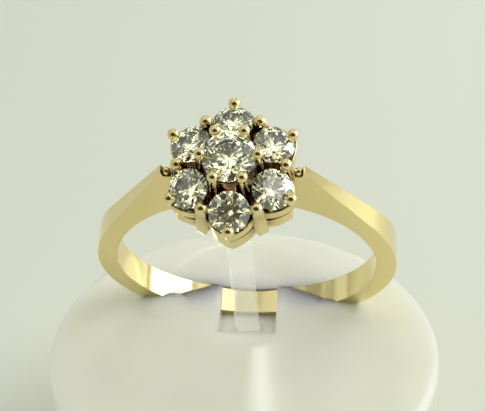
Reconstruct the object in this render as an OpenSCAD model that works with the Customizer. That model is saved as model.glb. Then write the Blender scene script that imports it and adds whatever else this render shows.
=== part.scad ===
// Flower cluster ring on a plain round display stand, in millimetres.
// The origin is the middle of the stand's underside, +Z is up and the viewer looks along +Y.
// The ring's own modules are drawn about the middle of the finger hole, with the hole's
// axis along Y and the head of the ring up; in_stand() then leans the ring into the stand.
// The head's heights count from the top of the finger hole, so it rises with a larger hole.

/* [Finger hole and band] */
// Diameter of the finger hole
finger_d = 17; // [16:0.25:19]
// Thickness of the band at its sides and bottom
band_t = 1.24; // [1:0.02:1.6]
// Width of the band at its sides and bottom
band_w = 1.8; // [1.5:0.1:2.2]

/* [Shoulders] */
// Height of a shoulder's end above the top of the finger hole
shoulder_rise = 3.2; // [3:0.05:3.4]
// Width of the narrow outer edge where a shoulder ends at the head
shoulder_tip_w = 0.5; // [0.4:0.05:0.7]
// Distance of a shoulder's end from the middle of the head
shoulder_tip_x = 4.17; // [4.05:0.01:4.3]

/* [Stones] */
// Diameter of the middle stone
centre_d = 3.1; // [2.8:0.05:3.2]
// Diameter of each outer stone
outer_d = 2.4; // [2.2:0.05:2.5]
// Outward tilt of the outer stones in degrees
outer_tilt = 18; // [12:1:22]
// Space left between a stone and the metal round it
stone_gap = 0.03; // [0.02:0.01:0.05]

/* [Head] */
// Forward tilt of the whole head in degrees
head_tilt = 4; // [0:1:6]
// Diameter of the round ends of the claws at the middle stone
inner_bead_d = 0.68; // [0.6:0.02:0.74]
// Diameter of the round ends of the claws at the tips of the flower
tip_bead_d = 0.72; // [0.6:0.02:0.78]
// Diameter of the round ends of the claws between two outer stones
shared_bead_d = 0.76; // [0.7:0.02:0.8]
// Width of the bent strips that carry the claws between two outer stones
strip_w = 0.9; // [0.8:0.05:1]

/* [Stand] */
// Diameter of the round base
base_d = 26; // [25:0.1:30]
// Height of the base
base_h = 12; // [10:0.5:20]
// Radius of the base's rounded top edge
base_edge = 0.6; // [0.3:0.1:1]
// Lean of the ring towards the viewer in degrees
ring_lean = 28.6; // [27:0.2:31]
// Turn of the ring about the axis of its finger hole in degrees
ring_turn = -2.7; // [-3:0.1:3]
// Height of the middle of the finger hole above the base's top
ring_rise = 6; // [5.8:0.05:6.2]
// Depth of the dip in the base's top, where the ring goes in
dip_depth = 0.55; // [0.3:0.05:0.8]
// Height of the two mounds that the band pushes up where its front goes in
mound_h = 0.4; // [0.2:0.05:0.5]
// Width of the clear tongue that stands in the finger hole
tongue_w = 1.7; // [1.3:0.05:1.8]
// Lean of the tongue to the left in degrees
tongue_lean = 4.5; // [0:0.5:6]

/* [Hidden] */
$fn = 48;
GOLD = "#d9c179";
STONE = "#eef2ee";
FROSTED = "#dfe3d6";
CLEAR = "#eef2ea";
// How far a cut runs on past the face that it opens
over = 1;

// The flower has six petals: tips point halfway between the claws that two stones share.
petals = 6;
petal_step = 360 / petals;

// Band and shoulders, seen along the finger hole's axis as [x, z]
finger_r = finger_d / 2;
band_r = finger_r + band_t;
shoulder_tip = [shoulder_tip_x, finger_r + shoulder_rise];
// A shoulder leaves the round where a line from its end touches the band
touch_angle = atan2(shoulder_tip[1], shoulder_tip[0]) - acos(band_r / norm(shoulder_tip));
touch = band_r * [cos(touch_angle), sin(touch_angle)];
shoulder_tip_t = 0.12;
shoulder_tip_h = 0.5;
shoulder_notch = [3.3, shoulder_tip[1] - shoulder_tip_h];
shoulder_notch_foot = finger_r + 1.2;
shoulder_foot = [1.9, finger_r + 0.4];
narrow_from = 2.5;
top_gap_h = 3;
bead_in_notch = [3.86, shoulder_notch[1] + 0.2];
notch_bead_d = 0.5;
finger_hole_l = 12;

// Head, in [distance from the head's axis, height above the top of the finger hole]
head_pivot = 3.5;
centre_girdle_z = 4.85;
outer_girdle = [2.82, 3.45];
inner_bead = [1.66, 5.24];
tip_bead = [4.03, 3.48];
shared_bead = [3.15, 3.75];
inner_leg_foot = [2.0, 1.3];
inner_leg_d = 0.5;
tip_leg_d = 0.54;
tip_leg_foot = [3.96, 2.45];
tip_foot_d = 0.54;
strip_t = 0.5;
strip_round = 1.2;
strip_foot = 0.72;
strip_ease = 0.06;
strip_steps = 8;
elbow = [2.6, 1.2];
elbow_r = 1.1;
foot_ring_r = 2.1;
foot_ring_hole_r = 1.5;
foot_ring_top = 0.9;
foot_ring_h = 1.9;
petal_arc = 2.4;
petal_point = 0.7;
gallery_wall = 0.4;
upper_rail_reach = 1.9;
upper_rail_z = 2.25;
upper_rail_h = 0.75;
lower_rail_reach = 1.7;
lower_rail_z = 0.6;
lower_rail_h = 1.05;
deck_z = 2.45;
deck_h = 0.4;
deck_hole_r = 0.75;
deck_hole_h = 3;
cup_top = [1.58, 4.6];
cup_bottom = [1.75, 0.8];
cup_wall = 0.3;

// Proportions of a round brilliant, as shares of its diameter
table_share = 0.57;
crown_share = 0.15;
girdle_share = 0.03;
pavilion_share = 0.43;
star_reach = 0.5;
lower_half_reach = 0.77;
mains = 8;
main_step = 360 / mains;
half_step = main_step / 2;

// Stand
base_foot_edge = 0.3;
ring_x = 0.1;
ring_y = 2.3;
dip_floor_r = 2.8;
dip_r = 6;
dip_y = 5.8;
dip_steps = 12;
mound_r = 3.4;
mound_at = [[-6.2, 4.1], [6.6, 4.1]];
slot_gap = 0.05;
window_w = 3.95;
window_front = 1.35;
window_back = 6.95;
window_depth = 2.2;
slit_w = 0.04;
slit_l = 7.4;
slit_y = 6.75;
slit_depth = dip_depth + 0.6;
tongue_t = 0.7;
tongue_x = 0.1;
tongue_y = 4.2;
tongue_rise = 4.5;
tongue_top = base_h + ring_rise + tongue_rise;
tongue_socket = 1.5;
tongue_gap = 0.05;
tongue_foot = base_h - window_depth - tongue_socket + tongue_gap;

// Places the ring, drawn upright about its finger hole, in the stand
module in_stand()
    translate([ring_x, ring_y, base_h + ring_rise])
        rotate([ring_lean, 0, 0])
            rotate([0, ring_turn, 0])
                children();

// Sets the head on the top of the finger hole and tilts it forward
module on_band()
    translate([0, 0, finger_r + head_pivot])
        rotate([head_tilt, 0, 0])
            translate([0, 0, -head_pivot])
                children();

// Repeats its children round the head, once for each petal
module round_head(start)
    for (k = [0:petals - 1])
        rotate([0, 0, start + k * petal_step])
            children();

// Puts a shape drawn in [x, z] on its feet, t thick along Y
module upright(t)
    rotate([90, 0, 0])
        linear_extrude(height = t, center = true)
            children();

// A straight round bar between two points in [x, z]
module bar(from, to, d) {
    run = to - from;
    translate([from[0], 0, from[1]])
        rotate([0, atan2(run[0], run[1]), 0])
            cylinder(d = d, h = norm(run), $fn = 24);
}

module bead(at, d)
    translate([at[0], 0, at[1]])
        sphere(d = d, $fn = 32);

// Seen from the front: the round of the band with both shoulders, not yet bored
module band_front_view() {
    circle(r = band_r, $fn = 96);
    for (side = [-1, 1])
        polygon([
            [0, 0],
            [side * touch[0], touch[1]],
            [side * shoulder_tip[0], shoulder_tip[1]],
            [side * (shoulder_tip[0] - shoulder_tip_t), shoulder_notch[1]],
            [side * shoulder_notch[0], shoulder_notch[1]],
            [side * shoulder_notch[0], shoulder_notch_foot],
            [side * elbow[0], shoulder_notch_foot - elbow_r / 2],
            [side * shoulder_foot[0], shoulder_foot[1]]
        ]);
}

// Seen from the side: full width up to the side of the hole, then narrowing to the head
module band_side_view()
    polygon([
        [-band_w / 2, -band_r - over],
        [band_w / 2, -band_r - over],
        [band_w / 2, narrow_from],
        [shoulder_tip_w / 2, shoulder_tip[1]],
        [-shoulder_tip_w / 2, shoulder_tip[1]],
        [-band_w / 2, narrow_from]
    ]);

module band()
    difference() {
        intersection() {
            upright(2 * band_w) band_front_view();
            rotate([90, 0, 90])
                linear_extrude(height = 3 * band_r, center = true)
                    band_side_view();
        }
        translate([0, 0, finger_r])
            cube([2 * shoulder_foot[0], 2 * band_w, top_gap_h], center = true);
    }

// One bent strip between two stones, seen from its side: from its claw down over the rails
module strip_side_view() {
    polygon([
        [shared_bead[0] - strip_t / 2, shared_bead[1]],
        [shared_bead[0] + strip_t / 2, shared_bead[1]],
        [elbow[0] + elbow_r, elbow[1]],
        [elbow[0] + elbow_r - strip_t, elbow[1]]
    ]);
    intersection() {
        difference() {
            translate(elbow) circle(r = elbow_r);
            translate(elbow) circle(r = elbow_r - strip_t);
        }
        translate(elbow - [0, 2 * elbow_r]) square(2 * elbow_r);
    }
}

// The same strip seen from outside: its lower end is rounded off
module strip_front_view() {
    polygon(concat(
        [[-shared_bead_d / 2, shared_bead[1]], [shared_bead_d / 2, shared_bead[1]]],
        [for (k = [0:strip_steps])
            let (a = 90 * k / strip_steps)
                [strip_w / 2 * cos(a), strip_foot + strip_round * (1 - sin(a))]],
        [for (k = [strip_steps:-1:0])
            let (a = 90 * k / strip_steps)
                [-strip_w / 2 * cos(a), strip_foot + strip_round * (1 - sin(a))]]
    ));
}

// The strip's cross-section as it leans in from the elbow to its claw: rounded outside
module strip_section() {
    circle(r = strip_w / 2 + strip_ease);
    translate([-elbow[0], -strip_w / 2 - strip_ease / 2])
        square([elbow[0], strip_w + strip_ease]);
}

module strip() {
    from = elbow + [elbow_r, 0];
    run = shared_bead + [strip_t / 2, 0] - from;
    intersection() {
        upright(strip_w) strip_side_view();
        rotate([90, 0, 90])
            linear_extrude(height = 2 * elbow[0])
                strip_front_view();
        translate([from[0], 0, from[1]])
            rotate([0, atan2(run[0], run[1]), 0])
                translate([-strip_w / 2, 0, -elbow[0]])
                    linear_extrude(height = 3 * elbow[0])
                        strip_section();
    }
}

// One pointed petal between two arcs, drawn from above
module petal(reach, arc)
    intersection() {
        translate([reach, petal_point]) circle(r = arc);
        translate([reach, -petal_point]) circle(r = arc);
    }

// A thin wall round the outline that the six petals share
module rail(reach, z, h)
    translate([0, 0, z])
        linear_extrude(height = h)
            difference() {
                round_head(petal_step / 2) petal(reach, petal_arc);
                round_head(petal_step / 2) petal(reach, petal_arc - gallery_wall);
                circle(r = reach / 2);
            }

// The plate inside the upper rail, pierced under each stone
module deck()
    difference() {
        translate([0, 0, deck_z])
            linear_extrude(height = deck_h)
                difference() {
                    round_head(petal_step / 2)
                        petal(upper_rail_reach, petal_arc - gallery_wall / 2);
                    circle(r = cup_top[0] - cup_wall / 2);
                }
        for (number = [1:petals])
            at_outer_seat(number)
                cylinder(r = deck_hole_r, h = deck_hole_h, center = true);
    }

// The tube that carries the middle stone
module cup()
    rotate_extrude()
        polygon([
            cup_bottom - [cup_wall, 0],
            cup_bottom,
            cup_top,
            cup_top - [cup_wall, 0]
        ]);

module foot_ring()
    difference() {
        translate([0, 0, foot_ring_top - foot_ring_h])
            cylinder(r = foot_ring_r, h = foot_ring_h);
        translate([0, 0, foot_ring_top - foot_ring_h - over])
            cylinder(r = foot_ring_hole_r, h = foot_ring_h + 2 * over);
    }

module head_metal() {
    rail(upper_rail_reach, upper_rail_z, upper_rail_h);
    rail(lower_rail_reach, lower_rail_z, lower_rail_h);
    deck();
    cup();
    foot_ring();
    round_head(0) {
        strip();
        bead(shared_bead, shared_bead_d);
        bar(inner_leg_foot, inner_bead, inner_leg_d);
        bead(inner_bead, inner_bead_d);
    }
    round_head(petal_step / 2) {
        bar(tip_leg_foot, tip_bead, tip_leg_d);
        bead(tip_bead, tip_bead_d);
        bead(tip_leg_foot, tip_foot_d);
    }
}

// A stone's outline with a little room round it, cut out of the metal as its seat
module stone_room(d) {
    girdle = girdle_share * d / 2;
    rotate_extrude()
        polygon([
            [0, -girdle - pavilion_share * d - stone_gap],
            [d / 2 + stone_gap, -girdle - stone_gap],
            [d / 2 + stone_gap, girdle + stone_gap],
            [table_share * d / 2 + stone_gap, girdle + crown_share * d + stone_gap],
            [0, girdle + crown_share * d + stone_gap]
        ]);
}

// A point on a ring of radius r at height z, turned by a degrees
function on_ring(r, a, z) = [r * cos(a), r * sin(a), z];

// A round brilliant about the middle of its girdle: 33 facets above and 24 below.
// Its points are numbered from the table down: table, stars, girdle's upper and lower edge,
// the deep points between the lower halves, and the culet.
module brilliant(d) {
    r = d / 2;
    girdle = girdle_share * d / 2;
    table_r = table_share * r;
    table_z = girdle + crown_share * d;
    table_edge = table_r * cos(half_step);
    star_r = table_edge + star_reach * (r - table_edge);
    star_z = table_z + (girdle - table_z) * (star_r * cos(half_step) - table_r) / (r - table_r);
    culet_z = -girdle - pavilion_share * d;
    deep_r = (1 - lower_half_reach) * r;
    deep_z = culet_z + (-girdle - culet_z) * deep_r * cos(half_step) / r;
    last = mains - 1;
    rim = 2 * mains;
    star = mains;
    top = star + mains;
    low = top + rim;
    deep = low + rim;
    culet = deep + mains;
    polyhedron(
        points = concat(
            [for (k = [0:last]) on_ring(table_r, main_step * k, table_z)],
            [for (k = [0:last]) on_ring(star_r, main_step * k + half_step, star_z)],
            [for (k = [0:rim - 1]) on_ring(r, half_step * k, girdle)],
            [for (k = [0:rim - 1]) on_ring(r, half_step * k, -girdle)],
            [for (k = [0:last]) on_ring(deep_r, main_step * k + half_step, deep_z)],
            [[0, 0, culet_z]]
        ),
        faces = concat(
            [[for (k = [last:-1:0]) k]],
            [for (k = [0:last]) [k, (k + 1) % mains, star + k]],
            [for (k = [0:last]) [k, star + k, top + 2 * k, star + (k + last) % mains]],
            [for (k = [0:last]) [star + k, top + 2 * k + 1, top + 2 * k]],
            [for (k = [0:last]) [star + k, top + (2 * k + 2) % rim, top + 2 * k + 1]],
            [for (k = [0:rim - 1]) [top + k, top + (k + 1) % rim, low + (k + 1) % rim, low + k]],
            [for (k = [0:last]) [deep + k, low + 2 * k, low + 2 * k + 1]],
            [for (k = [0:last]) [deep + k, low + 2 * k + 1, low + (2 * k + 2) % rim]],
            [for (k = [0:last]) [culet, deep + (k + last) % mains, low + 2 * k, deep + k]]
        )
    );
}

module at_centre_seat()
    translate([0, 0, centre_girdle_z])
        children();

// Seats are numbered anticlockwise from the right of the head
module at_outer_seat(number)
    rotate([0, 0, (number - 0.5) * petal_step])
        translate([outer_girdle[0], 0, outer_girdle[1]])
            rotate([0, outer_tilt, 0])
                children();

module ring()
    color(GOLD)
        in_stand()
            difference() {
                union() {
                    band();
                    for (side = [-1, 1])
                        bead([side * bead_in_notch[0], bead_in_notch[1]], notch_bead_d);
                    on_band() head_metal();
                }
                rotate([90, 0, 0])
                    cylinder(r = finger_r, h = finger_hole_l, center = true, $fn = 96);
                on_band() {
                    at_centre_seat() stone_room(centre_d);
                    for (number = [1:petals])
                        at_outer_seat(number) stone_room(outer_d);
                }
            }

module centre_stone()
    color(STONE)
        in_stand() on_band() at_centre_seat() brilliant(centre_d);

module outer_stone(number)
    color(STONE)
        in_stand() on_band() at_outer_seat(number) brilliant(outer_d);

// Round block with a rounded rim, before it is cut
module base_block()
    rotate_extrude($fn = 96)
        union() {
            square([base_d / 2 - base_edge, base_h]);
            translate([0, base_foot_edge])
                square([base_d / 2, base_h - base_edge - base_foot_edge]);
            square([base_d / 2 - base_foot_edge, base_h / 2]);
            translate([base_d / 2 - base_edge, base_h - base_edge])
                circle(r = base_edge, $fn = 32);
            translate([base_d / 2 - base_foot_edge, base_foot_edge])
                circle(r = base_foot_edge, $fn = 32);
        }

// Height of a soft slope from 1 down to 0, at a share of its way
function slope(share) = pow(cos(90 * share), 2);

// The soft dip in the top round the ring, flat in its middle
module dip()
    translate([0, dip_y, base_h])
        rotate_extrude($fn = 96)
            polygon(concat(
                [[0, over], [0, -dip_depth]],
                [for (k = [0:dip_steps])
                    let (share = k / dip_steps)
                        [dip_floor_r + (dip_r - dip_floor_r) * share, -dip_depth * slope(share)]],
                [[dip_r, over]]
            ));

// The top of a ball, pushed up where the front of the band goes in
module mound(at)
    translate([at[0], at[1], base_h + mound_h - mound_r])
        sphere(r = mound_r);

// The slot is closed over the bottom of the band, which shows only in the square window
module band_slot()
    in_stand()
        rotate([90, 0, 0])
            difference() {
                cylinder(r = band_r + slot_gap, h = band_w + 2 * slot_gap, center = true, $fn = 96);
                cylinder(r = finger_r - slot_gap, h = 2 * band_w, center = true, $fn = 96);
            }

module stand_base()
    color(FROSTED) {
        difference() {
            base_block();
            dip();
            band_slot();
            translate([-window_w / 2, window_front, base_h - window_depth])
                cube([window_w, window_back - window_front, window_depth + over]);
            translate([ring_x - slit_l / 2, slit_y, base_h - slit_depth])
                cube([slit_l, slit_w, slit_depth + over]);
            translate([tongue_x, tongue_y, tongue_foot - tongue_gap])
                rotate([0, -tongue_lean, 0])
                    tongue_block(tongue_gap, tongue_socket + over);
        }
        difference() {
            union() {
                for (at = mound_at)
                    mound(at);
            }
            band_slot();
        }
    }

// The tongue's cross-section with a margin round it, h tall
module tongue_block(margin, h)
    translate([-tongue_w / 2 - margin, -tongue_t / 2 - margin, 0])
        cube([tongue_w + 2 * margin, tongue_t + 2 * margin, h]);

module stand_tongue()
    color(CLEAR)
        translate([tongue_x, tongue_y, tongue_foot])
            rotate([0, -tongue_lean, 0]) {
                tongue_block(0, tongue_top - tongue_foot - tongue_w / 2);
                translate([0, 0, tongue_top - tongue_foot - tongue_w / 2])
                    rotate([90, 0, 0])
                        cylinder(d = tongue_w, h = tongue_t, center = true);
            }

ring();
centre_stone();
outer_stone(1);  // outer_stone_1
outer_stone(2);  // outer_stone_2
outer_stone(3);  // outer_stone_3
outer_stone(4);  // outer_stone_4
outer_stone(5);  // outer_stone_5
outer_stone(6);  // outer_stone_6
stand_base();
stand_tongue();
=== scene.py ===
# %% [markdown]
# # A flower cluster ring on its display stand
# The real object is a yellow gold ring: a plain polished band, two shoulders that narrow towards
# the head, and a raised flower of seven round stones held by claws with bead ends. It leans in a
# round frosted stand, and a clear tongue of the stand passes through the finger hole.
# The CAD model already has every solid in its place. This lesson keeps its metal and the stand's
# block, cuts the stones again with round girdles, draws the tongue again with rounded corners, and
# gives every surface its finish.

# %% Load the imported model
import math

import bmesh
import bpy
from mathutils import Matrix, Vector


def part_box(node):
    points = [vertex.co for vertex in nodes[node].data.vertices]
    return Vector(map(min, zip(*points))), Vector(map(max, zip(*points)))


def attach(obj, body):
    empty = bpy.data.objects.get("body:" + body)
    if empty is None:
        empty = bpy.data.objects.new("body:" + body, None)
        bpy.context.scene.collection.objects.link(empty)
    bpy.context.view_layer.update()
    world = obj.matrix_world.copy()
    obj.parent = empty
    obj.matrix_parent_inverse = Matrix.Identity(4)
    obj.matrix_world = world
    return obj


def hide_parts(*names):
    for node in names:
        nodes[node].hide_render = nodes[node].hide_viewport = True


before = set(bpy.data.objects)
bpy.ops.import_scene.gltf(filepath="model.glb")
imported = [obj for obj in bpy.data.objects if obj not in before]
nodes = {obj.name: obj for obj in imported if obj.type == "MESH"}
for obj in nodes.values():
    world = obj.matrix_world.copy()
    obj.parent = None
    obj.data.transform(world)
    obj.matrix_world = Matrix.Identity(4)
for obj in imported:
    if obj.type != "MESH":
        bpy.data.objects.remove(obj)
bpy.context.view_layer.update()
MM = 0.001

# %% [markdown]
# ## The camera
# A photograph of a small thing is taken from close by, so its perspective is part of its look.
# The camera could be placed by eye, but here its place was fitted to the band, the claws and the
# stand in the photograph. It looks down at about 35 degrees and stands 85 mm from the middle of
# the finger hole.

# %% Place the camera
PHOTO_SIZE = (485, 411)
FOCAL_LENGTH = 95.86
SENSOR_WIDTH = 36.0
NEAREST = 0.001
FARTHEST = 20.0
CAMERA_AT = Vector((4.157, -65.257, 69.517)) * MM
CAMERA_RIGHT = Vector((0.9982, 0.0593, -0.0072))
CAMERA_UP = Vector((-0.0283, 0.5761, 0.8169))
CAMERA_BACK = Vector((0.0526, -0.8152, 0.5767))


def place_camera(at, right, up, back):
    """Makes the camera from its place and its three axes."""
    data = bpy.data.cameras.new("photo_view")
    data.sensor_fit = "HORIZONTAL"
    data.sensor_width = SENSOR_WIDTH
    data.lens = FOCAL_LENGTH
    data.clip_start = NEAREST
    data.clip_end = FARTHEST
    camera = bpy.data.objects.new("photo_view", data)
    bpy.context.scene.collection.objects.link(camera)
    axes = Matrix((right, up, back)).transposed().to_4x4()
    camera.matrix_world = Matrix.Translation(at) @ axes
    bpy.context.scene.camera = camera
    return camera


camera = place_camera(CAMERA_AT, CAMERA_RIGHT, CAMERA_UP, CAMERA_BACK)
wide = math.degrees(camera.data.angle_x)
print("the photo's frame of", PHOTO_SIZE, "pixels takes in", round(wide, 1), "degrees across")

# %% [markdown]
# ## Writing shader maths as formulas
# A finish on a real surface is a sum of small things: grain, polishing lines, a little dirt in
# the corners. In Blender each of these is a few nodes. Wiring them by hand takes many lines, so
# two small classes do it. A Wire is one output of a node, and adding or multiplying two Wires
# adds the Math node for it. A Recipe is a node tree, and its one method adds any other node. The
# same two classes serve for the finishes and for the tree that cuts the stones.

# %% Two helper classes for node trees
SHADER_SAMPLES = 4


class Wire:
    """One output of a shader node, on which plain arithmetic adds Math nodes."""

    def __init__(self, recipe, socket):
        self.recipe = recipe
        self.socket = socket

    def _math(self, operation, other, swapped=False):
        values = {0: other, 1: self} if swapped else {0: self, 1: other}
        return self.recipe.node("ShaderNodeMath", {"operation": operation}, values)

    def __add__(self, other):
        return self._math("ADD", other)

    def __sub__(self, other):
        return self._math("SUBTRACT", other)

    def __rsub__(self, other):
        return self._math("SUBTRACT", other, swapped=True)

    def __mul__(self, other):
        return self._math("MULTIPLY", other)

    def __truediv__(self, other):
        return self._math("DIVIDE", other)

    def __pow__(self, other):
        return self._math("POWER", other)

    __radd__ = __add__
    __rmul__ = __mul__

    def step(self, low, high):
        """0 below low, 1 above high, and a smooth rise between."""
        return self.recipe.node(
            "ShaderNodeMapRange",
            {"interpolation_type": "SMOOTHSTEP"},
            {"Value": self, "From Min": low, "From Max": high},
        )


class Recipe:
    """A node tree under construction."""

    def __init__(self, tree):
        self.tree = tree
        tree.nodes.clear()

    def node(self, kind, settings=None, values=None, output=0):
        """Adds a node: its settings first, then the values or Wires of its sockets."""
        made = self.tree.nodes.new(kind)
        for name, value in (settings or {}).items():
            setattr(made, name, value)
        for name, value in (values or {}).items():
            wires = value if isinstance(value, list) else [value]
            if not isinstance(wires[0], Wire):
                made.inputs[name].default_value = value
                continue
            for wire in wires:
                self.tree.links.new(wire.socket, made.inputs[name])
        return Wire(self, made.outputs[output]) if made.outputs else made

    def blend(self, factor, first, second):
        """Mixes two colours."""
        values = {0: factor}
        for index, colour in ((6, first), (7, second)):
            values[index] = colour if isinstance(colour, Wire) else (*colour, 1.0)
        return self.node("ShaderNodeMix", {"data_type": "RGBA"}, values, output=2)

    def place_in_mm(self, turn=(0, 0, 0), stretch=(1, 1, 1), middle=(0, 0, 0)):
        """Object coordinates in millimetres from a middle, turned and stretched."""
        here = self.node("ShaderNodeTexCoord", output="Object")
        scale = tuple(s / MM for s in stretch)
        moved = self.node(
            "ShaderNodeVectorMath",
            {"operation": "SUBTRACT"},
            {0: here, 1: tuple(v * MM for v in middle)},
        )
        return self.node(
            "ShaderNodeMapping",
            {"vector_type": "POINT"},
            {"Vector": moved, "Rotation": turn, "Scale": scale},
        )

    def place_from(self, matrix):
        """Object coordinates in millimetres, seen from a frame that a matrix places."""
        here = self.node("ShaderNodeTexCoord", output="Object")
        back = matrix.inverted()
        return self.node(
            "ShaderNodeMapping",
            {"vector_type": "POINT"},
            {
                "Vector": here,
                "Location": back.translation,
                "Rotation": back.to_euler(),
                "Scale": (1 / MM, 1 / MM, 1 / MM),
            },
        )

    def parts(self, vector):
        """The x, y and z of a vector."""
        split = self.node("ShaderNodeSeparateXYZ", {}, {0: vector})
        return [Wire(self, socket) for socket in split.socket.node.outputs]

    def noise(self, where, scale, detail=3.0, roughness=0.5):
        """Cloudy noise, with that many patches to the millimetre."""
        return self.node(
            "ShaderNodeTexNoise",
            {},
            {"Vector": where, "Scale": scale, "Detail": detail, "Roughness": roughness},
        )

    def rounded(self, radius):
        """The surface's direction, with its edges rounded by that radius."""
        return self.node("ShaderNodeBevel", {"samples": SHADER_SAMPLES}, {"Radius": radius})

    def relief(self, height, strength, depth, **rest):
        """Fine relief of that depth."""
        values = {"Strength": strength, "Distance": depth, "Height": height, **rest}
        return self.node("ShaderNodeBump", {}, values)

    def surface(self, values):
        """Makes one shader with these values the finish."""
        shader = self.node("ShaderNodeBsdfPrincipled", {}, values)
        self.node("ShaderNodeOutputMaterial", {}, {"Surface": shader})


def new_finish(name):
    """An empty material and the Recipe for its nodes."""
    material = bpy.data.materials.new(name)
    material.use_nodes = True
    return material, Recipe(material.node_tree)


print("helpers ready: Wire, Recipe, new_finish")

# %% [markdown]
# ## Where the flower sits
# All seven stones are set in one head, so their places are measured from the head's own axis. The
# head leans with the ring in its slot, turns a little with it and is tilted forward a little. One
# matrix holds all of that. The gold uses it to find the deep middle where the painted shade goes,
# and each stone then needs only its reach, height, tilt and turn.

# %% The head's place in the stand
FINGER_RADIUS = 8.5
HEAD_PIVOT = 3.5
RING_MIDDLE = (0.1, 2.3, 18.0)
RING_LEAN = math.radians(28.6)
RING_TURN = math.radians(-2.7)
HEAD_TILT = math.radians(4.0)


def place_of_head():
    """The head's frame in the stand's frame, in millimetres."""
    in_stand = (
        Matrix.Translation(RING_MIDDLE)
        @ Matrix.Rotation(RING_LEAN, 4, "X")
        @ Matrix.Rotation(RING_TURN, 4, "Y")
    )
    on_band = (
        Matrix.Translation((0, 0, FINGER_RADIUS + HEAD_PIVOT))
        @ Matrix.Rotation(HEAD_TILT, 4, "X")
        @ Matrix.Translation((0, 0, -HEAD_PIVOT))
    )
    return in_stand @ on_band


HEAD = place_of_head()
print("the head's axis points to", [round(v, 3) for v in HEAD.to_3x3().col[2]])

# %% [markdown]
# ## Polished yellow gold
# Polished gold has almost no colour of its own: it shows the room, tinted. What tells the eye
# that it is metal and not a mirror is small. A polishing wheel leaves the flats very slightly
# wavy and draws fine lines over them, and wear makes the gloss a little uneven. A red-brown
# painted shade darkens the deep corners under the stones, in place of the shadow there.
# Corners are never quite sharp on a polished ring, so the Bevel node rounds them by 0.05 mm where
# light falls on them. The painted shade lies in every deep corner, which the Ambient Occlusion
# node finds, and all over the sheltered space under the stones, which corners alone would leave
# too light. That space is given as heights above the finger hole and reaches from the head's
# axis, in millimetres.

# %% Gold finish
GOLD_COLOUR = (0.87, 0.745, 0.385)
# Painted shade: a red-brown colour that stands for the shadow in deep corners and under the stones.
PAINTED_SHADE_COLOUR = (0.17, 0.080, 0.028)
PAINTED_SHADE_FOOT = 0.7
PAINTED_SHADE_TOP = 5.95
PAINTED_SHADE_FALL = 0.75
PAINTED_SHADE_REACH = 3.4
CORNER_DEPTH = 0.9 * MM
EDGE_ROUND = 0.05 * MM
POLISH_DEPTH = 0.01 * MM


def make_gold():
    material, recipe = new_finish("polished_gold")
    where = recipe.place_in_mm()
    along = recipe.place_in_mm(turn=(0.5, 0.2, 0.3), stretch=(1.0, 14.0, 14.0))
    waves = recipe.noise(where, 0.9, detail=1.0)
    lines = recipe.noise(along, 2.5, detail=2.0)
    cloud = recipe.noise(where, 1.6, detail=4.0)
    deep = recipe.node(
        "ShaderNodeAmbientOcclusion",
        {"samples": SHADER_SAMPLES, "only_local": True},
        {"Distance": CORNER_DEPTH},
        output="AO",
    )
    x, y, z = recipe.parts(recipe.place_from(HEAD))
    reach = (x * x + y * y) ** 0.5
    sheltered = (PAINTED_SHADE_TOP - reach * PAINTED_SHADE_FALL - z).step(-0.35, 0.35)
    inside = (PAINTED_SHADE_REACH - reach).step(-0.3, 0.3) * (z - PAINTED_SHADE_FOOT).step(0.0, 0.5)
    # Painted shade: the gold turns red-brown in deep corners and in the sheltered space under the
    # stones.
    unshaded = deep.step(0.12, 0.62) * (1.0 - sheltered * inside)
    colour = recipe.blend(unshaded, PAINTED_SHADE_COLOUR, GOLD_COLOUR)
    height = waves * 0.8 + lines * 0.02
    rounded = recipe.rounded(EDGE_ROUND)
    recipe.surface(
        {
            "Base Color": colour,
            "Metallic": 1.0,
            "Roughness": 0.07 + cloud * 0.07 + lines * 0.03,
            "Normal": recipe.relief(height, 0.25, POLISH_DEPTH, Normal=rounded),
        }
    )
    return material


gold = make_gold()
print("gold has", len(gold.node_tree.nodes), "nodes")

# %% [markdown]
# ## Cut stones
# The stones are clear, with a very high refractive index, and their facets are flat to a
# fraction of a micron. So the finish is almost nothing: light enters through the table, bounces
# off the back facets and comes out again. The facets themselves do the work, and they are real
# geometry here. The finish adds the faintest grain that the cutting lap leaves.

# %% Stone finish
STONE_INDEX = 2.42
STONE_TINTS = ((0.99, 0.97, 0.80), (0.975, 0.97, 0.82))
LAP_GRAIN = 0.012


def make_stone():
    material, recipe = new_finish("cut_stone")
    where = recipe.place_in_mm()
    tint = recipe.noise(where, 0.6, detail=1.0)
    lap = recipe.noise(recipe.place_in_mm(stretch=(1.0, 9.0, 1.0)), 6.0, detail=2.0)
    recipe.surface(
        {
            "Base Color": recipe.blend(tint, *STONE_TINTS),
            "Roughness": lap * LAP_GRAIN,
            "IOR": STONE_INDEX,
            "Transmission Weight": 1.0,
        }
    )
    return material


stone = make_stone()
print("stone has refractive index", STONE_INDEX)

# %% [markdown]
# ## The frosted stand
# The stand is moulded in a milky plastic with a satin skin. Light goes a few millimetres into it
# and comes out again, so its shadows are soft: that is the subsurface part. Close to, the skin is
# a fine even grain, the gloss varies slowly where hands have polished it, and faint dust lies on
# the top. A thin coat mirrors a bright light as a streak. The pocket's walls get a painted light:
# their colour is lighter than the skin's, because with the same colour the pocket came out darker
# than in the photograph. The block's mesh is one piece, so a mask round the pocket's middle finds
# its walls.

# %% Frosted finish
FROST_COLOUR = (0.86, 0.87, 0.76)
FROST_SHADE = 0.965
FROST_INDEX = 1.45
FROST_DEPTH = 4.0 * MM
MILK_TINT = (1.0, 1.0, 0.8)
GRAIN_DEPTH = 0.012 * MM
CREASE_ROUND = 0.6 * MM
DUST_COLOUR = (0.80, 0.80, 0.74)
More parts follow.
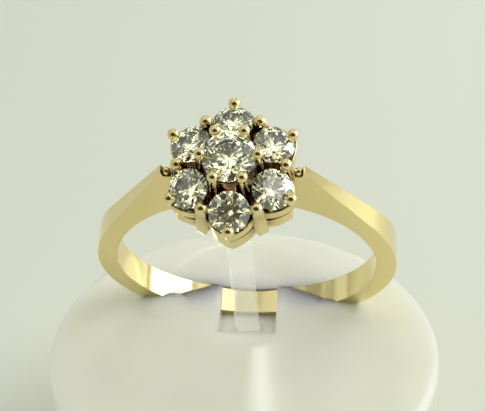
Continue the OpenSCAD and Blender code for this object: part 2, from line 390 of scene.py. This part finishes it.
# Painted light: the pocket's walls get a lighter colour than the skin.
POCKET_PAINTED_LIGHT = (0.99, 0.975, 0.84)
POCKET_MIDDLE = (0.1, 5.5, 10.0)
POCKET_HALF = (2.2, 2.6)
POCKET_TOP = 1.7


def make_frosted():
    material, recipe = new_finish("frosted_plastic")
    where = recipe.place_in_mm()
    grain = recipe.noise(where, 14.0, detail=2.0)
    cloud = recipe.noise(where, 0.18, detail=3.0)
    dust = recipe.noise(where, 5.0, detail=3.0).step(0.66, 0.74)
    shaded = tuple(v * FROST_SHADE for v in FROST_COLOUR)
    skin = recipe.blend(cloud.step(0.3, 0.7), FROST_COLOUR, shaded)
    x, y, z = recipe.parts(recipe.place_in_mm(middle=POCKET_MIDDLE))
    beside = (x * x / POCKET_HALF[0] ** 2 + y * y / POCKET_HALF[1] ** 2).step(1.0, 1.5)
    # Painted light: inside the mask round the pocket's middle and below its top, the walls are
    # lightened.
    pocket_lit = (1.0 - beside) * (POCKET_TOP - z).step(0.0, 0.2)
    body = recipe.blend(pocket_lit, skin, POCKET_PAINTED_LIGHT)
    soft = recipe.rounded(CREASE_ROUND)
    recipe.surface(
        {
            "Base Color": recipe.blend(dust * 0.25, body, DUST_COLOUR),
            "Roughness": 0.36 + cloud * 0.04 + dust * 0.15,
            "IOR": FROST_INDEX,
            "Subsurface Weight": 1.0,
            "Subsurface Radius": MILK_TINT,
            "Subsurface Scale": FROST_DEPTH,
            "Coat Weight": 0.3,
            "Coat Roughness": 0.09,
            "Coat Normal": soft,
            "Normal": recipe.relief(grain, 0.2, GRAIN_DEPTH, Normal=soft),
        }
    )
    return material


frosted = make_frosted()
print("stand finish:", frosted.name)

# %% [markdown]
# ## The clear tongue and its sawn edges
# The tongue is a clearer kind of the same plastic, with a smooth skin and a few fine scratches.
# Its edges are sawn and matt. Refraction would be the exact way to show it, but light through
# glass would see the contrasty room that is made for the stones and give dark and white blotches.
# So the finish lets light straight through instead: the two faces together pass about half of it,
# and the matt edges very little. A clear sheet also carries light inside it to its edges. This
# finish can't do that, so a faint glow of its own stands in for the carried light, with its
# strength set to match the photograph.

# %% Tongue finishes
SHEET_INDEX = 1.49
SHEET_DEPTH = 2.0 * MM
CARRIED_LIGHT = (0.25, 0.255, 0.23, 1.0)
FACE_ALPHA = 0.3
FACE_GLOW = 0.9
FACE_TINTS = ((0.97, 0.975, 0.90), (0.93, 0.94, 0.87))
SCRATCH_DEPTH = 0.004 * MM
EDGE_ALPHA = 0.9
EDGE_GLOW = 1.0
EDGE_TINTS = ((0.98, 0.98, 0.93), (0.94, 0.95, 0.89))
SAW_DEPTH = 0.01 * MM


def sheet_surface(recipe, values):
    """Plastic sheet that scatters part of the light and has a painted glow for what it carries."""
    shared = {
        "IOR": SHEET_INDEX,
        "Subsurface Weight": 1.0,
        "Subsurface Radius": MILK_TINT,
        "Subsurface Scale": SHEET_DEPTH,
        "Emission Color": CARRIED_LIGHT,
    }
    recipe.surface({**shared, **values})


def make_clear():
    material, recipe = new_finish("clear_plastic")
    where = recipe.place_in_mm(stretch=(6.0, 6.0, 0.5))
    scratches = recipe.noise(where, 3.0, detail=3.0).step(0.62, 0.72)
    sheet_surface(
        recipe,
        {
            "Base Color": recipe.blend(scratches, *FACE_TINTS),
            "Roughness": 0.05 + scratches * 0.06,
            "Alpha": FACE_ALPHA,
            "Emission Strength": FACE_GLOW,
            "Normal": recipe.relief(scratches, 0.1, SCRATCH_DEPTH),
        },
    )
    return material


def make_sawn():
    material, recipe = new_finish("sawn_plastic")
    marks = recipe.noise(recipe.place_in_mm(stretch=(2.0, 2.0, 12.0)), 2.0, detail=3.0)
    sheet_surface(
        recipe,
        {
            "Base Color": recipe.blend(marks, *EDGE_TINTS),
            "Roughness": 0.40 + marks * 0.2,
            "Alpha": EDGE_ALPHA,
            "Emission Strength": EDGE_GLOW,
            "Normal": recipe.relief(marks, 0.3, SAW_DEPTH),
        },
    )
    return material


clear = make_clear()
sawn = make_sawn()
print("tongue finishes:", clear.name, "and", sawn.name)

# %% [markdown]
# ## Dress the CAD nodes
# The metal and the stand's block keep their CAD shapes, which are exact, and only take their
# finish. The stones and the tongue are made again further on, and what is made replaces them.

# %% Give the CAD nodes their finish
FINISH_OF = {"ring": gold, "stand_base": frosted, "stand_tongue": clear}


def dress(piece, *finishes):
    piece.data.materials.clear()
    for finish in finishes:
        piece.data.materials.append(finish)


for name, piece in nodes.items():
    dress(piece, FINISH_OF.get(name, stone))
    print(name, "->", piece.data.materials[0].name)

# %% [markdown]
# ## Cutting the stones
# A round brilliant is cut as flat facets first, and its girdle is then turned round, which leaves
# the facets' lower ends as small scallops. The tree does the same: five rings of points and the
# culet are wrapped in their convex hull, which gives every facet at its true angle, and a plain
# cylinder trims the girdle. It could be one fixed mesh, but a real setter puts each stone in at a
# turn of its own and no two sizes are alike, so the size, the facets' turn and the seat are inputs
# of one tree, and the seven stones are seven sets of values.

# %% A tree that cuts a stone and sets it on its seat
MAINS = 8
HALF_STEP = math.pi / MAINS
STONE_INPUTS = {
    "Diameter": ("NodeSocketFloat", 2.4),
    "Table": ("NodeSocketFloat", 0.57),
    "Crown": ("NodeSocketFloat", 0.15),
    "Girdle": ("NodeSocketFloat", 0.03),
    "Pavilion": ("NodeSocketFloat", 0.43),
    "Facet Turn": ("NodeSocketFloat", 0.0),
    "Reach": ("NodeSocketFloat", 0.0),
    "Height": ("NodeSocketFloat", 0.0),
    "Tilt": ("NodeSocketFloat", 0.0),
    "Seat Turn": ("NodeSocketFloat", 0.0),
    "Head Place": ("NodeSocketVector", (0.0, 0.0, 0.0)),
    "Head Turn": ("NodeSocketVector", (0.0, 0.0, 0.0)),
    "Finish": ("NodeSocketMaterial", None),
}
STAR_REACH = 0.5
LOWER_REACH = 0.77
ROUGH_EXCESS = 1.004
CULET_SHARE = 0.004
GIRDLE_SIDES = 96


class GeometryRecipe(Recipe):
    """A geometry tree under construction, with named inputs and one mesh as its result."""

    def __init__(self, name, inputs):
        tree = bpy.data.node_groups.new(name, "GeometryNodeTree")
        super().__init__(tree)
        for title, (kind, value) in inputs.items():
            socket = tree.interface.new_socket(title, in_out="INPUT", socket_type=kind)
            if value is not None:
                socket.default_value = value
        tree.interface.new_socket("Mesh", in_out="OUTPUT", socket_type="NodeSocketGeometry")
        source = tree.nodes.new("NodeGroupInput")
        self.given = {title: Wire(self, source.outputs[title]) for title in inputs}

    def vector(self, x=0.0, y=0.0, z=0.0):
        return self.node("ShaderNodeCombineXYZ", {}, {"X": x, "Y": y, "Z": z})

    def moved(self, mesh, place=(0, 0, 0), turn=(0, 0, 0), scale=(1, 1, 1)):
        values = {"Geometry": mesh, "Translation": place, "Rotation": turn, "Scale": scale}
        return self.node("GeometryNodeTransform", {}, values)

    def ring_of_points(self, count, radius, z, turn=0.0):
        circle = self.node(
            "GeometryNodeMeshCircle", {"fill_type": "NONE"}, {"Vertices": count, "Radius": radius}
        )
        return self.moved(circle, self.vector(z=z), (0, 0, turn))

    def give(self, mesh, finish):
        """Realizes the mesh, sets its material and makes it the tree's result."""
        real = self.node("GeometryNodeRealizeInstances", {}, {"Geometry": mesh})
        dressed = self.node("GeometryNodeSetMaterial", {}, {"Geometry": real, "Material": finish})
        self.node("NodeGroupOutput", {}, {"Mesh": dressed})


def stone_tree():
    recipe = GeometryRecipe("cut_stone_on_its_seat", STONE_INPUTS)
    given = recipe.given
    radius = given["Diameter"] * 0.5
    rough_radius = radius * (ROUGH_EXCESS / math.cos(HALF_STEP / 2))
    girdle = given["Girdle"] * radius
    table_radius = given["Table"] * radius
    table_z = girdle + given["Crown"] * given["Diameter"]
    star_radius = table_radius * math.cos(HALF_STEP) * (1 - STAR_REACH) + radius * STAR_REACH
    fall = (star_radius * math.cos(HALF_STEP) - table_radius) / (rough_radius - table_radius)
    star_z = table_z - (table_z - girdle) * fall
    depth = given["Pavilion"] * given["Diameter"]
    deep_radius = radius * (1 - LOWER_REACH)
    rise = deep_radius * math.cos(HALF_STEP) / rough_radius
    deep_z = (depth * rise) - depth - girdle
    rings = [
        recipe.ring_of_points(MAINS, table_radius, table_z),
        recipe.ring_of_points(MAINS, star_radius, star_z, HALF_STEP),
        recipe.ring_of_points(2 * MAINS, rough_radius, girdle),
        recipe.ring_of_points(2 * MAINS, rough_radius, girdle * -1.0),
        recipe.ring_of_points(MAINS, deep_radius, deep_z, HALF_STEP),
        recipe.ring_of_points(3, radius * CULET_SHARE, (depth + girdle) * -1.0),
    ]
    points = recipe.node("GeometryNodeJoinGeometry", {}, {"Geometry": rings})
    faceted = recipe.node("GeometryNodeConvexHull", {}, {"Geometry": points})
    rod = recipe.node(
        "GeometryNodeMeshCylinder",
        {},
        {"Vertices": GIRDLE_SIDES, "Radius": radius, "Depth": given["Diameter"] * 2.0},
    )
    trimmed = recipe.node(
        "GeometryNodeMeshBoolean",
        {"operation": "INTERSECT", "solver": "EXACT"},
        {"Mesh 2": [faceted, rod]},
    )
    flat = recipe.node(
        "GeometryNodeSetShadeSmooth", {}, {"Geometry": trimmed, "Shade Smooth": False}
    )
    turned = recipe.moved(flat, turn=recipe.vector(z=given["Facet Turn"]))
    leaned = recipe.moved(
        turned,
        recipe.vector(x=given["Reach"], z=given["Height"]),
        recipe.vector(y=given["Tilt"]),
    )
    seated = recipe.moved(leaned, turn=recipe.vector(z=given["Seat Turn"]))
    placed = recipe.moved(seated, given["Head Place"], given["Head Turn"])
    in_metres = recipe.moved(placed, scale=(MM, MM, MM))
    recipe.give(in_metres, given["Finish"])
    return recipe.tree


STONE_TREE = stone_tree()
print("the stone tree has", len(STONE_TREE.nodes), "nodes")

# %% [markdown]
# ## Seven stones from one tree
# Each stone has the sizes and the place of its CAD solid, so it stands in its own seat and
# replaces that solid one for one. Its box is then measured against the solid's box. The tree's
# result is turned into a plain mesh at once.

# %% Set the stones
def mesh_from_tree(name, tree, values):
    """Runs a geometry tree with its values and keeps the result as a plain mesh object."""
    piece = bpy.data.objects.new(name, bpy.data.meshes.new(name + "_start"))
    bpy.context.scene.collection.objects.link(piece)
    modifier = piece.modifiers.new(name, "NODES")
    modifier.node_group = tree
    for socket in tree.interface.items_tree:
        if socket.in_out == "INPUT" and socket.name in values:
            modifier[socket.identifier] = values[socket.name]
    piece.update_tag()
    seen = piece.evaluated_get(bpy.context.evaluated_depsgraph_get())
    mesh = bpy.data.meshes.new_from_object(seen)
    piece.modifiers.remove(modifier)
    start, piece.data = piece.data, mesh
    bpy.data.meshes.remove(start)
    mesh.name = name
    return piece


def set_stone(node, values):
    name = "cut_" + node
    shared = {
        "Head Place": tuple(HEAD.translation),
        "Head Turn": tuple(HEAD.to_euler()),
        "Finish": stone,
    }
    piece = mesh_from_tree(name, STONE_TREE, {**shared, **values})
    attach(piece, "root")
    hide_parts(node)
    return piece


def off_its_box(piece, node):
    """How far any side of a piece's box lies from the side of its CAD node's box, in mm."""
    low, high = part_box(node)
    seen = [piece.matrix_world @ Vector(corner) for corner in piece.bound_box]
    lows = [abs(min(c[k] for c in seen) - low[k]) for k in range(3)]
    highs = [abs(max(c[k] for c in seen) - high[k]) for k in range(3)]
    return round(max(lows + highs) / MM, 3)


CENTRE_DIAMETER = 3.1
CENTRE_HEIGHT = 4.85
CENTRE_TURN = 0.2
OUTER_DIAMETER = 2.4
OUTER_REACH = 2.82
OUTER_HEIGHT = 3.45
OUTER_TILT = math.radians(18.0)
PETALS = 6
PETAL_STEP = 2 * math.pi / PETALS
FACET_TURNS = (0.12, 0.31, 0.05, 0.24, 0.36, 0.18)
stones = {
    "centre_stone": {
        "Diameter": CENTRE_DIAMETER,
        "Height": CENTRE_HEIGHT,
        "Facet Turn": CENTRE_TURN,
    }
}
for number in range(1, PETALS + 1):
    stones[f"outer_stone_{number}"] = {
        "Diameter": OUTER_DIAMETER,
        "Reach": OUTER_REACH,
        "Height": OUTER_HEIGHT,
        "Tilt": OUTER_TILT,
        "Seat Turn": (number - 0.5) * PETAL_STEP,
        "Facet Turn": FACET_TURNS[number - 1],
    }
for node, values in stones.items():
    piece = set_stone(node, values)
    print(piece.name, len(piece.data.polygons), "facets, off its box", off_its_box(piece, node), "mm")

# %% [markdown]
# ## The clear tongue
# The real tongue is sawn from clear sheet: its two faces are glossy, its sawn edges are matt and
# catch the light as two pale lines, and every corner is slightly rounded. The CAD solid has sharp
# corners, which show no such lines. So the tongue is built again as a rounded section of the
# solid's own width and thickness, drawn up along its length, with a round top. It is two shells:
# the foot that is sunk in the stand is matt all round, so that nobody looks into the socket
# through it, and the upper part has the clear faces.

# %% Build the tongue
TONGUE_WIDTH = 1.70
TONGUE_THICK = 0.70
TONGUE_FOOT = Vector((0.1, 4.2, 8.35))
TONGUE_LENGTH = 14.15
TONGUE_LEAN = math.radians(-4.5)
TONGUE_SUNK = 1.5
SHELL_GAP = 0.02
CORNER = 0.24
CORNER_STEPS = 5
CORNER_SHARE = 0.9
TOP_STEPS = 10


def rounded_section(half_width, half_thick, corner):
    """Points round a rectangle with rounded corners."""
    points = []
    for quarter, (side_x, side_y) in enumerate(((1, 1), (-1, 1), (-1, -1), (1, -1))):
        for k in range(CORNER_STEPS + 1):
            angle = math.pi / 2 * (quarter + k / CORNER_STEPS)
            x = side_x * (half_width - corner) + corner * math.cos(angle)
            y = side_y * (half_thick - corner) + corner * math.sin(angle)
            points.append((x, y))
    return points


def tongue_levels():
    """Half widths and heights from the pocket's floor to the end of the round top."""
    half = TONGUE_WIDTH / 2
    straight = TONGUE_LENGTH - half
    levels = [(half, TONGUE_SUNK), (half, straight)]
    for k in range(1, TOP_STEPS):
        angle = math.pi / 2 * k / TOP_STEPS
        levels.append((half * math.cos(angle), straight + half * math.sin(angle)))
    return levels


def draw_up(shape, levels, all_matt):
    """Draws the rounded section up through the levels and closes both ends."""
    stand = Matrix.Translation(TONGUE_FOOT) @ Matrix.Rotation(TONGUE_LEAN, 4, "Y")
    loops = []
    for half_width, height in levels:
        corner = min(CORNER, half_width * CORNER_SHARE)
        section = rounded_section(half_width, TONGUE_THICK / 2, corner)
        loops.append([shape.verts.new((stand @ Vector((x, y, height))) * MM) for x, y in section])
    count = len(loops[0])
    for below, above in zip(loops, loops[1:]):
        for k in range(count):
            after = (k + 1) % count
            face = shape.faces.new((below[k], below[after], above[after], above[k]))
            face.smooth = True
            quarter, place = divmod(k, CORNER_STEPS + 1)
            wide = place == CORNER_STEPS and quarter % 2 == 0
            face.material_index = 0 if wide and not all_matt else 1
    for end in (list(reversed(loops[0])), loops[-1]):
        shape.faces.new(end).material_index = 1


def build_tongue():
    shape = bmesh.new()
    half = TONGUE_WIDTH / 2
    draw_up(shape, [(half, 0.0), (half, TONGUE_SUNK - SHELL_GAP)], all_matt=True)
    draw_up(shape, tongue_levels(), all_matt=False)
    mesh = bpy.data.meshes.new("clear_tongue")
    shape.to_mesh(mesh)
    shape.free()
    piece = bpy.data.objects.new("clear_tongue", mesh)
    bpy.context.scene.collection.objects.link(piece)
    return piece


tongue = build_tongue()
dress(tongue, clear, sawn)
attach(tongue, "root")
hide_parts("stand_tongue")
print(tongue.name, len(tongue.data.polygons), "faces")

# %% [markdown]
# ## The ground
# The photograph has a plain pale ground. A wide plane with a faint fibre in it is enough.

# %% Floor
FLOOR_HALF_WIDTH = 6.0
GROUND_TINTS = ((0.80, 0.825, 0.72), (0.82, 0.84, 0.745))


def make_ground():
    material, recipe = new_finish("pale_ground")
    where = recipe.place_in_mm()
    fibre = recipe.noise(where, 3.0, detail=4.0)
    recipe.surface(
        {
            "Base Color": recipe.blend(fibre, *GROUND_TINTS),
            "Roughness": 0.75 + fibre * 0.1,
        }
    )
    return material


def make_floor(half_width):
    """A square floor with its top at z = 0."""
    mesh = bpy.data.meshes.new("floor")
    corners = [(-half_width, -half_width, 0), (half_width, -half_width, 0),
               (half_width, half_width, 0), (-half_width, half_width, 0)]
    mesh.from_pydata(corners, [], [(0, 1, 2, 3)])
    floor = bpy.data.objects.new("floor", mesh)
    bpy.context.scene.collection.objects.link(floor)
    dress(floor, make_ground())
    return floor


floor = make_floor(FLOOR_HALF_WIDTH)
print("floor is", round(floor.dimensions.x, 1), "m wide")

# %% [markdown]
# ## The room
# An even light comes from all around, brighter on the left, and the side of the room behind the
# camera is dim. Polished gold needs exactly that mix: without the dim part it has nothing dark to
# show. One sky for everything would be simplest, but matt plastic, mirror-like gold and cut stones
# each show another side of a real room. So the sky has three colourings: a plain wall for the
# camera and for matt surfaces, a furnished room for mirrors, and a contrasty room for light that
# comes through stones, with three small lamps in the last two. It is a stand-in for a real room,
# with its values chosen by comparing tones with the photograph.

# %% World light
WORLD_LEFT = (1.42, 1.44, 1.33)
WORLD_RIGHT = (0.47, 0.485, 0.45)
ROOM_LEFT = (0.80, 0.825, 0.76)
ROOM_RIGHT = (1.08, 1.10, 1.08)
WORLD_STRENGTH = 0.56
DIM_COLOUR = (0.11, 0.06, 0.035)
SPARKLE_DIM = (0.16, 0.17, 0.12)
DIM_TOWARDS = (0.0, -0.88, 0.475)
LAMP_COLOUR = (3.2, 3.1, 2.8)
LAMP_TOWARDS = ((0.45, -0.38, 0.81), (0.31, -0.09, 0.945), (-0.50, -0.20, 0.84))
LAMP_EDGE = (0.988, 0.995)
ROOM_DIM_EDGE = (0.50, 0.82)
SPARKLE_DIM_EDGE = (0.72, 0.92)
ROOM_THINGS = {"scale": 3.5, "dark": 0.85, "bright": 1.7, "blue": 0.96}
SPARKLE_THINGS = {"scale": 11.0, "dark": 1.2, "bright": 5.8, "blue": 0.74}


def make_world():
    world = bpy.data.worlds.new("studio")
    world.use_nodes = True
    recipe = Recipe(world.node_tree)
    towards = recipe.node("ShaderNodeTexCoord", output="Generated")

    def facing(direction):
        values = {0: towards, 1: Vector(direction).normalized()}
        return recipe.node("ShaderNodeVectorMath", {"operation": "DOT_PRODUCT"}, values, "Value")

    def furnished(wall, scale, dark, bright, blue):
        """The room with things in it: the wall's colour, darker and brighter by turns."""
        things = recipe.noise(towards, scale, detail=2.0, roughness=0.6).step(0.42, 0.60)
        shade = things * (bright - dark) + dark
        channels = {"Red": shade, "Green": shade, "Blue": shade * blue}
        grey = recipe.node("ShaderNodeCombineColor", {}, channels)
        settings = {"data_type": "RGBA", "blend_type": "MULTIPLY"}
        return recipe.node("ShaderNodeMix", settings, {0: 1.0, 6: wall, 7: grey}, output=2)

    rightwards = facing((1, 0, 0)).step(-1.0, 1.0)
    wall = recipe.blend(rightwards, WORLD_LEFT, WORLD_RIGHT)
    inside = recipe.blend(rightwards, ROOM_LEFT, ROOM_RIGHT)
    mirrored = recipe.node("ShaderNodeLightPath", output="Is Glossy Ray")
    through = recipe.node("ShaderNodeLightPath", output="Is Transmission Ray")
    forward = facing(DIM_TOWARDS)
    room = furnished(inside, **ROOM_THINGS)
    room = recipe.blend(forward.step(*ROOM_DIM_EDGE), room, DIM_COLOUR)
    sparkle = furnished(inside, **SPARKLE_THINGS)
    sparkle = recipe.blend(forward.step(*SPARKLE_DIM_EDGE), sparkle, SPARKLE_DIM)
    for direction in LAMP_TOWARDS:
        lamp = facing(direction).step(*LAMP_EDGE)
        room = recipe.blend(lamp, room, LAMP_COLOUR)
        sparkle = recipe.blend(lamp, sparkle, LAMP_COLOUR)
    colour = recipe.blend(through, recipe.blend(mirrored, wall, room), sparkle)
    sky = recipe.node("ShaderNodeBackground", {}, {"Color": colour, "Strength": WORLD_STRENGTH})
    recipe.node("ShaderNodeOutputWorld", {}, {"Surface": sky})
    bpy.context.scene.world = world
    return world


world = make_world()
print("world:", len(world.node_tree.nodes), "nodes")

# %% [markdown]
# ## The lights
# One large bright window stands on the right. As a single light it can't be both as low as the
# gold's reflections ask and as high as the soft shadow asks. So it is two: window is seen only in
# mirrors and stones, and daylight lights only the matt surfaces. The strip is a narrow light
# behind, which gives the bright streak on the stand's top. Mirrors and stones can see it too.

# %% Window, daylight and strip
LIGHT_COLOUR = (1.0, 1.0, 0.97)
UPRIGHT = (0.0, 0.0, 1.0)
STAND_TOP = (0.0, 0.0, 0.012)
LIGHTS = {
    "window": {
        "at": (0.30, 0.08, 0.14),
        "aim": (0.0, 0.0, 0.02),
        "size": (0.30, 0.22),
        "power": 1.0,
        "upright": UPRIGHT,
        "not_for": ("diffuse",),
    },
    "daylight": {
        "at": (0.27, 0.08, 0.26),
        "aim": STAND_TOP,
        "size": (0.30, 0.30),
        "power": 0.77,
        "upright": UPRIGHT,
        "not_for": ("glossy", "transmission"),
    },
    "strip": {
        "at": (-0.0172, 0.4288, 0.4504),
        "aim": STAND_TOP,
        "size": (0.006, 0.10),
        "power": 0.07,
        "upright": (0.0885, -0.6745, 0.734),
        "not_for": ("diffuse",),
    },
}


def make_light(name, at, aim, size, power, upright, not_for):
    """A soft area light that no camera sees, only the surfaces that it lights."""
    data = bpy.data.lights.new(name, "AREA")
    data.shape = "RECTANGLE"
    data.size, data.size_y = size
    data.energy = power
    data.color = LIGHT_COLOUR
    light = bpy.data.objects.new(name, data)
    back = (Vector(at) - Vector(aim)).normalized()
    side = Vector(upright).cross(back).normalized()
    axes = Matrix((side, back.cross(side), back)).transposed().to_4x4()
    light.matrix_world = Matrix.Translation(at) @ axes
    for kind in ("camera", *not_for):
        setattr(light, "visible_" + kind, False)
    bpy.context.scene.collection.objects.link(light)
    return light


for name, values in LIGHTS.items():
    light = make_light(name, **values)
    print(light.name, "of", values["power"], "W")

# %% [markdown]
# ## Colours of the finished picture
# The photograph is a plain bright one with clipped whites, so the picture uses the Standard
# view and no film curve.

# %% Plain view
bpy.context.scene.view_settings.view_transform = "Standard"
bpy.context.scene.view_settings.look = "None"
